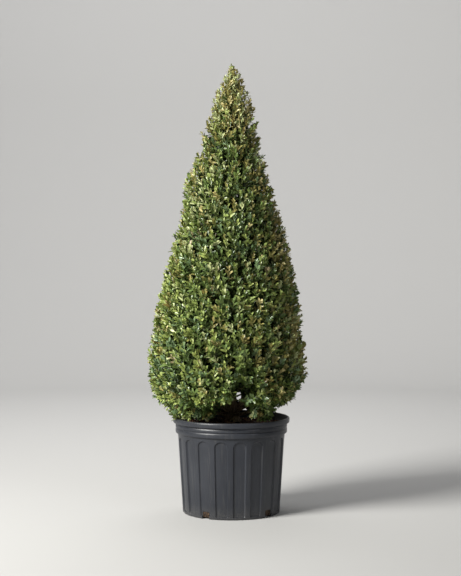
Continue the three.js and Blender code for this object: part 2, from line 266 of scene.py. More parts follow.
class Graph:
    """A material's node tree, with short calls to add and join nodes."""

    def __init__(self, name: str) -> None:
        """Start a material with a Principled shader."""
        self.material = bpy.data.materials.new(name)
        self.material.use_nodes = True
        self.tree = self.material.node_tree
        self.shader = self.tree.nodes["Principled BSDF"]

    def join(self, value: object, socket: bpy.types.NodeSocket) -> None:
        """Set an input socket to a plain value, or link an output socket to it.

        Args:
            value: The value or the output socket.
            socket: The input socket.
        """
        if isinstance(value, bpy.types.NodeSocket):
            self.tree.links.new(value, socket)
        else:
            socket.default_value = value

    def set(self, **sockets: object) -> None:
        """Set or link the shader's own inputs, named with underscores for spaces."""
        for key, value in sockets.items():
            self.join(value, self.shader.inputs[key.replace("_", " ")])

    def add(
        self, kind: str, settings: dict[str, object] | None = None, **sockets: object
    ) -> bpy.types.Node:
        """Add a node.

        Args:
            kind: The node's type without its "ShaderNode" prefix.
            settings: Properties of the node.
            **sockets: Values or output sockets for its inputs, with underscores for spaces.

        Returns:
            The node.
        """
        node = self.tree.nodes.new("ShaderNode" + kind)
        for key, value in (settings or {}).items():
            setattr(node, key, value)
        for key, value in sockets.items():
            self.join(value, node.inputs[key.replace("_", " ")])
        return node

    def height_of(self, node: str, output: str) -> bpy.types.NodeSocket:
        """Give the Z part of a vector that a node puts out."""
        return self.add("SeparateXYZ", Vector=self.add(node).outputs[output]).outputs["Z"]

    def grain(self, scale: Place, detail: float = 4, rough: float = 0.55) -> bpy.types.NodeSocket:
        """Give noise in the object's own space, whose cells are 1/scale metres along each axis.

        Args:
            scale: Cells in a metre along each axis.
            detail: How many finer layers it has.
            rough: How strong the finer layers are.

        Returns:
            The noise, from 0 to 1.
        """
        spot = self.add("TexCoord").outputs["Object"]
        spot = self.add("Mapping", Vector=spot, Scale=scale).outputs["Vector"]
        return self.add("TexNoise", Vector=spot, Scale=1.0, Detail=detail, Roughness=rough).outputs["Fac"]

    def ramp(self, value: bpy.types.NodeSocket, stops: dict[float, Color]) -> bpy.types.NodeSocket:
        """Map a value to colours through a ramp with these stops.

        Args:
            value: A value from 0 to 1.
            stops: The colour at each stop.

        Returns:
            The colour.
        """
        node = self.add("ValToRGB", Fac=value)
        marks = node.color_ramp.elements
        for i, (spot, color) in enumerate(sorted(stops.items())):
            mark = marks[i] if i < 2 else marks.new(spot)
            mark.position = spot
            mark.color = color
        return node.outputs["Color"]

    def band(self, value: bpy.types.NodeSocket, low: float, high: float) -> bpy.types.NodeSocket:
        """Stretch the part of a value from low to high over 0 to 1."""
        eased = {"interpolation_type": "SMOOTHSTEP"}
        return self.add("MapRange", eased, Value=value, From_Min=low, From_Max=high).outputs["Result"]

    def blend(self, share: object, first: object, second: object) -> bpy.types.NodeSocket:
        """Mix two colours by a share.

        Args:
            share: The second colour's share.
            first: The first colour.
            second: The second colour.

        Returns:
            The mixed colour.
        """
        node = self.add("Mix", {"data_type": "RGBA"})
        for value, number in ((share, 0), (first, 6), (second, 7)):
            self.join(value, node.inputs[number])
        return node.outputs[2]

    def math(self, operation: str, first: object, second: object) -> bpy.types.NodeSocket:
        """Combine two numbers.

        Args:
            operation: The name of the sum.
            first: The first number.
            second: The second number.

        Returns:
            The result.
        """
        node = self.add("Math", {"operation": operation})
        for value, number in ((first, 0), (second, 1)):
            self.join(value, node.inputs[number])
        return node.outputs[0]

    def bump(self, height: bpy.types.NodeSocket, depth: float) -> None:
        """Raise the surface by a height field of a depth in metres."""
        self.set(Normal=self.add("Bump", Height=height, Distance=depth, Strength=1.0).outputs["Normal"])


# ---------------------------------------------------------------------------
# Finishes
# ---------------------------------------------------------------------------


@dataclass(frozen=True)
class PlainFinish:
    """A finish of one colour, for the many small things that are dealt their colours one by one."""

    name: str
    color: Color
    roughness: float
    specular: float = 0.5
    coat: float = 0.0
    coat_roughness: float = 0.22

    def material(self) -> bpy.types.Material:
        """Make the finish's material."""
        graph = Graph(self.name)
        graph.set(Base_Color=self.color, Roughness=self.roughness, Specular_IOR_Level=self.specular)
        graph.set(Coat_Weight=self.coat, Coat_Roughness=self.coat_roughness)
        return graph.material


class Tint(Enum):
    """The colours that a boxwood's leaves come in."""

    FRESH = PlainFinish("leaf_fresh", paint("9ca95e"), 0.45, 0.35, 0.45)
    MID = PlainFinish("leaf_mid", paint("869651"), 0.45, 0.35, 0.5)
    DEEP = PlainFinish("leaf_deep", paint("63783f"), 0.42, 0.35, 0.5)
    BLUE_GREEN = PlainFinish("leaf_blue_green", paint("6a8158"), 0.42, 0.35, 0.55)
    OLIVE = PlainFinish("leaf_olive", paint("918c50"), 0.45, 0.35, 0.4)
    BRONZE = PlainFinish("leaf_bronze", paint("8d8149"), 0.45, 0.35, 0.35)
    STRAW = PlainFinish("leaf_straw", paint("c0b67c"), 0.5, 0.35, 0.2)
    ROSY = PlainFinish("leaf_rosy", paint("9b8f6c"), 0.48, 0.35, 0.25)
    PALE = PlainFinish("leaf_pale", paint("b2ba84"), 0.45, 0.35, 0.3)
    # SHADE is painted shade: the dark tint that leaves deep in the crown and low on the shoots come to.
    SHADE = PlainFinish("leaf_shade", paint("34431e"), 0.48, 0.25, 0.12)

    @property
    def slot(self) -> int:
        """The tint's place among a foliage mesh's materials."""
        return list(Tint).index(self)

    @classmethod
    def darker(cls) -> Array:
        """For each tint's slot, the slot of the darker tint that one step of painted shade gives.

        Returns:
            One slot a tint.
        """
        shaded_tint = {
            cls.FRESH: cls.MID,
            cls.MID: cls.DEEP,
            cls.DEEP: cls.SHADE,
            cls.BLUE_GREEN: cls.DEEP,
            cls.OLIVE: cls.DEEP,
            cls.BRONZE: cls.OLIVE,
            cls.STRAW: cls.OLIVE,
            cls.ROSY: cls.BRONZE,
            cls.PALE: cls.MID,
            cls.SHADE: cls.SHADE,
        }
        return np.array([shaded_tint[tint].slot for tint in cls])


@dataclass(frozen=True)
class TwigFinish:
    """The young wood: green at the shoots and tan on the limbs behind them."""

    shoot: PlainFinish = PlainFinish("twig_green", paint("6f7340"), 0.55)
    limb: PlainFinish = PlainFinish("twig_tan", paint("75664a"), 0.75)


@dataclass(frozen=True)
class BarkFinish:
    """Grey-tan bark, ridged along the limb, with brown in its furrows."""

    furrow: Color = paint("3c3022")
    face: Color = paint("7d6c50")
    ridge: Color = paint("a39478")
    lichen: Color = paint("8c8f68")
    ridge_depth: float = 0.0012

    def material(self) -> bpy.types.Material:
        """Make the bark's material."""
        graph = Graph("boxwood_bark")
        ridges = graph.grain((260, 260, 46), detail=5, rough=0.6)
        patches = graph.grain((55, 55, 30), detail=3)
        wood = graph.ramp(ridges, {0.34: self.furrow, 0.5: self.face, 0.68: self.ridge})
        growth = graph.math("MULTIPLY", graph.band(patches, 0.52, 0.66), 0.55)
        graph.set(Base_Color=graph.blend(growth, wood, self.lichen), Roughness=0.85)
        graph.bump(ridges, self.ridge_depth)
        return graph.material


@dataclass(frozen=True)
class MouldedPlasticFinish:
    """Black container plastic with a satin skin, faint flow streaks and dust."""

    body: Color = paint("2b2e35")
    deep: Color = paint("23262d")
    dust: Color = paint("66645f")
    gloss: tuple[float, float] = (0.34, 0.44)
    grain_depth: float = 0.00012

    def material(self) -> bpy.types.Material:
        """Make the plastic's material."""
        graph = Graph("moulded_plastic")
        cloud = graph.grain((9, 9, 6), detail=3)
        streak = graph.grain((150, 150, 7), detail=4)
        speck = graph.grain((420, 420, 420), detail=2, rough=0.7)
        skin = graph.blend(graph.band(cloud, 0.35, 0.65), self.deep, self.body)
        low = graph.band(graph.height_of("TexCoord", "Object"), 0.05, 0.0)
        ledge = graph.band(graph.height_of("NewGeometry", "Normal"), 0.45, 0.9)
        settled = graph.math("MULTIPLY", graph.math("MAXIMUM", low, ledge), graph.band(speck, 0.35, 0.7))
        streaked = graph.math("MULTIPLY", graph.band(streak, 0.52, 0.78), 0.2)
        dusty = graph.math("ADD", graph.math("MULTIPLY", settled, 0.45), streaked)
        dull, sheen = self.gloss[1], self.gloss[0]
        gloss = graph.add("MapRange", Value=cloud, From_Min=0.3, From_Max=0.7, To_Min=sheen, To_Max=dull)
        graph.set(Base_Color=graph.blend(dusty, skin, self.dust), Roughness=gloss.outputs["Result"])
        graph.bump(graph.math("ADD", speck, graph.math("MULTIPLY", streak, 2.0)), self.grain_depth)
        return graph.material


@dataclass(frozen=True)
class PottingMixFinish:
    """Damp bark-based mix, and the chips of bark that lie on it."""

    damp: Color = paint("1c140f")
    dry: Color = paint("54402f")
    fibre: Color = paint("a58f6e")
    crumb_depth: float = 0.002
    chips: tuple[PlainFinish, ...] = (
        PlainFinish("chip_dark", paint("2c2019"), 0.9),
        PlainFinish("chip_brown", paint("553a2b"), 0.85),
        PlainFinish("chip_red", paint("7a523c"), 0.85),
        PlainFinish("chip_tan", paint("8f7052"), 0.8),
        PlainFinish("chip_grey", paint("6f685f"), 0.85),
    )
    shares: tuple[float, ...] = (0.24, 0.3, 0.24, 0.14, 0.08)

    def material(self) -> bpy.types.Material:
        """Make the mix's material."""
        graph = Graph("potting_mix")
        crumbs = graph.grain((230, 230, 230), detail=6, rough=0.7)
        color = graph.ramp(crumbs, {0.42: self.damp, 0.58: self.dry, 0.68: self.fibre})
        graph.set(Base_Color=color, Roughness=0.95)
        graph.bump(crumbs, self.crumb_depth)
        return graph.material


# ---------------------------------------------------------------------------
# Foliage
# ---------------------------------------------------------------------------


@dataclass
class LeafBlade:
    """One boxwood leaf: an oval of a few faces, creased along its rib and bent back at its tip."""

    length: float = 0.0195
    width: float = 0.0082
    outline: Section = ((0.2, 0.26), (0.56, 0.5), (0.86, 0.37))
    rib: tuple[float, ...] = (0.0, 0.38, 0.72, 1.0)
    crease: float = 0.1
    droop: float = 0.12
    faces: Array = field(init=False)

    def __post_init__(self) -> None:
        """Number the faces: rib points 0 to 3, then the right edge 4 to 6 and the left edge 7 to 9."""
        right = [(0, 4, 1), (4, 5, 1), (1, 5, 2), (5, 6, 2), (2, 6, 3)]
        left = [[corner + 3 * (corner > 3) for corner in (a, c, b)] for a, b, c in right]
        self.faces = np.array([*right, *left])

    def spread(
        self, foot: Array, axis: Array, face: Array, size: Array, plump: Array, curl: Array
    ) -> tuple[Array, Array]:
        """Lay out many leaves at once.

        Args:
            foot: Where each leaf leaves its stem.
            axis: The direction of each leaf's rib.
            face: The direction that each leaf's upper side faces, at right angles to axis.
            size: Each leaf's share of the full length.
            plump: Each leaf's share of the full width.
            curl: How much each leaf bends back, as a share of the full bend.

        Returns:
            The vertices and the triangles of all the leaves.
        """
        edge, half_widths = zip(*self.outline)
        along = np.array([*self.rib, *edge, *edge])
        across = np.array([0.0] * len(self.rib) + [*half_widths, *(-w for w in half_widths)])
        raised = self.crease * np.abs(across) / 0.5
        side = np.cross(axis, face)
        reach = (self.length * size)[:, None, None]
        breadth = (self.width * size * plump)[:, None, None]
        lift = raised[None, :, None] - (self.droop * curl)[:, None, None] * (along**2)[None, :, None]
        points = (
            foot[:, None]
            + reach * along[None, :, None] * axis[:, None]
            + breadth * across[None, :, None] * side[:, None]
            + reach * lift * face[:, None]
        )
        step = len(along) * np.arange(len(foot))
        faces = self.faces[None] + step[:, None, None]
        return points.reshape(-1, 3), faces.reshape(-1, 3)


@dataclass(frozen=True)
class Patch:
    """A part of the foliage where one tint gathers."""

    tint: Tint
    azimuth: float
    height: float
    spread: float
    rise: float
    strength: float


@dataclass
class Palette:
    """The rule that deals tints to sprays."""

    common: dict[Tint, float] = field(
        default_factory=lambda: {
            Tint.FRESH: 0.4,
            Tint.MID: 1.1,
            Tint.DEEP: 0.8,
            Tint.BLUE_GREEN: 0.3,
            Tint.OLIVE: 0.5,
            Tint.BRONZE: 0.07,
            Tint.STRAW: 0.05,
            Tint.ROSY: 0.02,
            Tint.PALE: 0.3,
            Tint.SHADE: 0.12,
        }
    )
    patches: tuple[Patch, ...] = (
        Patch(Tint.STRAW, -30, 1.36, 160, 0.1, 22.0),
        Patch(Tint.PALE, 0, 1.35, 400, 0.13, 16.0),
        Patch(Tint.BRONZE, 10, 1.36, 400, 0.1, 5.0),
        Patch(Tint.OLIVE, 0, 1.34, 400, 0.18, 10.0),
        Patch(Tint.STRAW, -60, 1.1, 50, 0.16, 0.5),
        Patch(Tint.BRONZE, 80, 0.85, 22, 0.35, 1.6),
        Patch(Tint.OLIVE, 70, 0.8, 34, 0.45, 1.8),
        Patch(Tint.STRAW, 72, 0.85, 30, 0.3, 1.1),
        Patch(Tint.ROSY, -50, 0.885, 20, 0.06, 3.5),
        Patch(Tint.PALE, -46, 0.92, 28, 0.08, 3.2),
        Patch(Tint.STRAW, -14, 0.49, 7, 0.035, 1.6),
        Patch(Tint.BLUE_GREEN, -12, 0.9, 26, 0.12, 2.5),
        Patch(Tint.DEEP, -8, 0.9, 30, 0.15, 1.6),
        Patch(Tint.BLUE_GREEN, -50, 0.43, 34, 0.11, 2.6),
        Patch(Tint.DEEP, -45, 0.4, 36, 0.09, 1.6),
        Patch(Tint.FRESH, -72, 0.6, 26, 0.4, 1.8),
        Patch(Tint.FRESH, -30, 0.42, 40, 0.08, 1.2),
        Patch(Tint.FRESH, 24, 0.37, 9, 0.035, 4.0),
        # Painted shade: a deep-green patch on the right skirt, which lies in shade.
        Patch(Tint.DEEP, 45, 0.31, 26, 0.04, 5.0),
        Patch(Tint.BRONZE, 170, 0.7, 30, 0.2, 0.9),
        Patch(Tint.FRESH, 215, 0.95, 40, 0.2, 1.2),
        Patch(Tint.BLUE_GREEN, 140, 0.5, 40, 0.15, 1.2),
    )
    drift: float = 1.6
    drift_cell: Place = (0.09, 0.09, 0.13)

    def deal(self, points: Array, rng: np.random.Generator) -> Array:
        """Choose a tint for each spray.

        Args:
            points: Where the sprays are.
            rng: The source of chance.

        Returns:
            The material slot of each spray.
        """
        weights = np.zeros((len(points), len(Tint)))
        for i, (tint, weight) in enumerate(self.common.items()):
            drift = Relief(self.drift, self.drift_cell, 3.0 + i).at(points)
            weights[:, tint.slot] = weight * np.exp(drift)
        azimuth = azimuth_of(points)
        for patch in self.patches:
            near = bell(turn_from(azimuth, patch.azimuth), 0, patch.spread)
            near = near * bell(points[:, 2], patch.height, patch.rise)
            weights[:, patch.tint.slot] += patch.strength * near
        odds = np.cumsum(weights, axis=1)
        pick = rng.random(len(points)) * odds[:, -1]
        return (pick[:, None] > odds).sum(axis=1)


class Envelope:
    """The clipped face of a foliage solid, as a radius for each azimuth and height."""

    def __init__(self, node: str, azimuths: int = 120, heights: int = 180) -> None:
        """Measure the CAD solid by rays towards the vertical axis.

        Args:
            node: The foliage solid's name.
            azimuths: Rays round the axis.
            heights: Rows of rays.
        """
        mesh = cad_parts[node].data
        tree = BVHTree.FromPolygons([v.co for v in mesh.vertices], [p.vertices for p in mesh.polygons])
        low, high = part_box(node)
        self.low, self.high = low.z, high.z
        self.rows = np.linspace(self.low + 0.001, self.high - 0.0005, heights)
        self.steps = azimuths
        self.table = np.zeros((heights, azimuths))
        far, slimmest = 1.0, 0.15
        for i, height in enumerate(self.rows):
            for j, way in enumerate(outward(np.arange(azimuths) * 360 / azimuths)):
                hit = tree.ray_cast(Vector(way * far + UP * height), Vector(-way))
                self.table[i, j] = max(0.0, far - hit[3]) if hit[0] is not None else 0.0
        self.feet = self.rows[np.argmax(self.table > slimmest, axis=0)]

    def foot(self, azimuth: Array) -> Array:
        """The height of the foliage's lower edge at azimuths."""
        turns = np.arange(self.steps + 1) * 360 / self.steps
        return np.interp(azimuth % 360, turns, np.append(self.feet, self.feet[0]))

    def radius(self, azimuth: Array, height: Array) -> Array:
        """Read the radius at azimuths and heights, eased between the rays.

        Args:
            azimuth: The azimuths.
            height: As many heights.

        Returns:
            The radius at each.
        """
        last = len(self.rows) - 1.001
        row = np.clip(np.interp(height, self.rows, np.arange(len(self.rows))), 0, last)
        column = (azimuth % 360) * self.steps / 360
        i, j = row.astype(int), column.astype(int)
        u, v = row - i, column - j
        j, k = j % self.steps, (j + 1) % self.steps
        lower = self.table[i, j] * (1 - v) + self.table[i, k] * v
        upper = self.table[i + 1, j] * (1 - v) + self.table[i + 1, k] * v
        return lower * (1 - u) + upper * u

    def mean_radius(self, height: float) -> float:
        """The radius at a height, taken all the way round."""
        circle = np.arange(0, 360, 10.0)
        return float(self.radius(circle, np.full(len(circle), height)).mean())


@dataclass(frozen=True)
class Opening:
    """A straight way through the foliage that the shoots keep clear of."""

    start: Place
    end: Place
    room: float


@dataclass(frozen=True)
class Bulge:
    """A part of the cone's face that is fuller than its solid.

    It starts, is full, is still full and ends at the four heights.
    """

    out: float
    heights: tuple[float, float, float, float]
    azimuth: float = 0.0
    width: float = math.inf

    def at(self, azimuth: Array, height: Array) -> Array:
        """How far the face stands out at azimuths and heights.

        Args:
            azimuth: The azimuths.
            height: As many heights.

        Returns:
            The distance at each.
        """
        start, full, last, end = self.heights
        share = smoothstep(start, full, height) * smoothstep(end, last, height)
        return self.out * share * bell(turn_from(azimuth, self.azimuth), 0, self.width)


@dataclass
class SprayBed:
    """Where foliage carries its sprays: each one's tip, direction, length of shoot and steps of painted
    shade.
    """

    tips: Array
    ways: Array
    lengths: Array
    ages: Array

    @property
    def hips(self) -> Array:
        """The middle of each shoot."""
        return self.tips - 0.5 * self.lengths[:, None] * self.ways

    @property
    def bases(self) -> Array:
        """The foot of each shoot, which leans in towards the wood more than its tip does."""
        level = self.tips * LEVEL
        inward = unit(0.45 * self.ways + 0.55 * unit(level) + 0.1 * UP)
        reach = np.minimum(0.5 * self.lengths, 0.45 * np.linalg.norm(level, axis=1) + 0.006)
        return self.hips - reach[:, None] * inward

    def take(self, chosen: Array) -> "SprayBed":
        """Give some of the sprays as a bed of their own."""
        return SprayBed(*(values[chosen] for values in vars(self).values()))

    def clear_of(self, opening: Opening) -> "SprayBed":
        """Drop the sprays whose tip, middle or foot is in an opening.

        Args:
            opening: The way to keep clear.

        Returns:
            The sprays that are left.
        """
        start = np.array(opening.start)
        line = np.array(opening.end) - start
        keep = np.ones(len(self.tips), bool)
        for points in (self.tips, self.hips, self.bases):
            share = np.clip((points - start) @ line / (line @ line), 0, 1)
            keep &= np.linalg.norm(points - start - share[:, None] * line, axis=1) > opening.room
        return self.take(keep)

    @staticmethod
    def join(beds: "list[SprayBed]") -> "SprayBed":
        """Put several beds together."""
        return SprayBed(*(np.concatenate(same) for same in zip(*(vars(bed).values() for bed in beds))))


@dataclass
class BranchingRule:
    """Grows limbs to a bed's shoots: each limb forks towards the two halves of the shoots it feeds."""

    rng: np.random.Generator
    tip_radius: float = 0.0008
    swell: float = 0.4
    rise: float = 0.12
    wander: float = 0.05
    family: int = 4
    crowd: int = 50
    paths: list[Array] = field(default_factory=list)
    radii: list[Array] = field(default_factory=list)

    def grow(self, bases: Array, chosen: Array, start: Array, origins: Array) -> None:
        """Feed some shoots from a start.

        Args:
            bases: The feet of all the shoots.
            chosen: Which shoots to feed.
            start: Where the limb starts.
            origins: Filled in with the fork that each shoot leaves from.
        """
        if len(chosen) <= self.family:
            origins[chosen] = start
            return
        points = bases[chosen]
        reach = points.mean(axis=0) - start
        span = float(np.linalg.norm(reach))
        share = 0.4 if len(chosen) > self.crowd else 0.55
        fork = start + share * reach + self.rng.normal(0, self.wander, 3) * span
        fork = fork - self.rise * span * share * UP
        bend = 0.5 * (start + fork) + self.rng.normal(0, self.wander / 2, 3) * span
        self.paths.append(np.array([start, bend, fork]))
        self.radii.append(self.tip_radius * len(chosen) ** self.swell * np.array([1, 0.92, 0.84]))
        spread = points - points.mean(axis=0)
        axis = np.linalg.svd(spread, full_matrices=False)[2][0]
        order = chosen[np.argsort(spread @ axis)]
        cut = int(round(len(order) * self.rng.uniform(0.38, 0.62)))
        self.grow(bases, order[:cut], fork, origins)
        self.grow(bases, order[cut:], fork, origins)


@dataclass
class Sprays:
    """Dresses a bed: leaf pairs that cross one another along each shoot, and the twig under them.

    Leaf pairs are listed from the tip down. They twist, splay, sway and roll by chance, and are uneven.
    """

    rng: np.random.Generator
    blade: LeafBlade = field(default_factory=LeafBlade)
    palette: Palette = field(default_factory=Palette)
    spacing: tuple[float, ...] = (0.001, 0.007, 0.015, 0.025, 0.036, 0.047, 0.058, 0.068)
    scale: tuple[float, ...] = (0.55, 0.8, 0.95, 1.0, 1.0, 1.0, 0.95, 0.9)
    splay: tuple[float, ...] = (15, 25, 33, 40, 45, 49, 53, 58)
    twist_error: float = 0.22
    splay_error: float = 0.16
    sway: float = 0.1
    roll: float = 0.24
    uneven: float = 0.1
    curl: tuple[float, float] = (0.2, 1.6)
    stray: float = 0.2
    # Pairs from this one down take a darker tint as painted shade.
    painted_shade_from: int = 4
    twig: tuple[float, ...] = (0.0009, 0.00081, 0.000675, 0.000495, 0.0002)

    def poise(self, bed: SprayBed) -> tuple[Array, Array, Array]:
        """Set the leaves of every shoot on it.

        Args:
            bed: The shoots.

        Returns:
            The foot, the rib's direction and the facing of each leaf, shaped (shoots, pairs, 2, 3).
        """
        count, pairs = len(bed.tips), len(self.spacing)
        share = 1 - np.array(self.spacing)[None] / bed.lengths[:, None]
        t = np.clip(share, 0, 1)[..., None]
        base, hip, tip = bed.bases[:, None], bed.hips[:, None], bed.tips[:, None]
        spot = (1 - t) ** 2 * base + 2 * t * (1 - t) * hip + t**2 * tip
        stem = unit(2 * (1 - t) * (hip - base) + 2 * t * (tip - hip))
        first = unit(np.cross(stem, UP + 0.2 * self.rng.normal(size=(count, 1, 3))))
        second = np.cross(stem, first)
        turn = self.rng.uniform(0, np.pi, (count, 1)) + np.arange(pairs)[None] * np.pi / 2
        turn = turn + self.rng.normal(0, self.twist_error, (count, pairs))
        turns = np.stack([turn, turn + np.pi], axis=-1)[..., None]
        radial = first[:, :, None] * np.cos(turns) + second[:, :, None] * np.sin(turns)
        splay = np.radians(np.array(self.splay))[None, :, None, None]
        splay = splay + self.rng.normal(0, self.splay_error, (count, pairs, 2, 1))
        axis = np.cos(splay) * stem[:, :, None] + np.sin(splay) * radial
        axis = unit(axis + self.rng.normal(0, self.sway, axis.shape))
        level = unit(bed.tips * LEVEL)[:, None, None]
        low = smoothstep(0.95, 0.45, bed.tips[:, 2])[:, None, None, None]
        hung = smoothstep(0.42, 0.32, bed.tips[:, 2])[:, None, None, None]
        face = stem[:, :, None] + (0.1 + 0.16 * low) * level + (0.15 + 0.3 * hung) * UP
        face = face + self.rng.normal(0, self.roll, axis.shape)
        face = unit(face - (face * axis).sum(-1, keepdims=True) * axis)
        return np.broadcast_to(spot[:, :, None], axis.shape), axis, face

    def sizes(self, bed: SprayBed) -> tuple[Array, Array, Array]:
        """Give the size, plumpness and curl of each leaf: larger low down, and smaller at the crown.

        Args:
            bed: The shoots.

        Returns:
            Shares of the full size, width and bend, shaped (shoots, pairs, 2).
        """
        shape = (len(bed.tips), len(self.scale), 2)
        low = smoothstep(0.95, 0.45, bed.tips[:, 2])[:, None, None]
        crown = smoothstep(1.26, 1.36, bed.tips[:, 2])[:, None, None]
        size = np.array(self.scale)[None, :, None] * self.rng.normal(1, self.uneven, shape)
        size = size * self.rng.normal(1, 0.08, (shape[0], 1, 1)) * (0.95 + 0.13 * low - 0.14 * crown)
        plump = self.rng.normal(1, self.uneven, shape)
        return size, plump, self.rng.uniform(*self.curl, shape)

    def tints(self, bed: SprayBed) -> Array:
        """Give the material slot of each leaf: its shoot's own but for strays, and darker by steps of
        painted shade.

        Args:
            bed: The shoots.

        Returns:
            One slot a leaf.
        """
        pairs = len(self.spacing)
        tint = np.repeat(self.palette.deal(bed.tips, self.rng), pairs * 2)
        strays = self.rng.random(len(tint)) < self.stray
        tint = np.where(strays, np.repeat(self.palette.deal(bed.tips, self.rng), pairs * 2), tint)
        # Painted shade: the lower pairs of each shoot, the inner shoots and the hanging shoots take
        # darker tints, one step at a time.
        painted_shade_step = bed.ages[:, None] + (np.arange(pairs) >= self.painted_shade_from)[None]
        painted_shade_step = np.repeat(painted_shade_step.ravel(), 2)
        for step in range(3):
            tint = np.where(painted_shade_step > step, Tint.darker()[tint], tint)
        return tint

    def leaves(self, bed: SprayBed) -> tuple[Array, Array, Array]:
        """Grow the leaves of every shoot of a bed.

        Args:
            bed: The shoots.

        Returns:
            The vertices, the triangles and each triangle's material slot.
        """
        places = [values.reshape(-1, 3) for values in self.poise(bed)]
        points, faces = self.blade.spread(*places, *(values.ravel() for values in self.sizes(bed)))
        return points, faces, np.repeat(self.tints(bed), len(self.blade.faces))

    def twigs(self, bed: SprayBed, origins: Array) -> tuple[Array, Array]:
        """Make each shoot's own twig, from the fork it leaves to its tip.

        Args:
            bed: The shoots.
            origins: The fork that each shoot leaves from.

        Returns:
            The vertices and the faces of the twigs.
        """
        upper = 0.25 * bed.hips + 0.75 * bed.tips
        paths = np.stack([origins, bed.bases, bed.hips, upper, bed.tips], axis=1)
        return tubes(paths, np.broadcast_to(np.array(self.twig), paths.shape[:2]), 3)


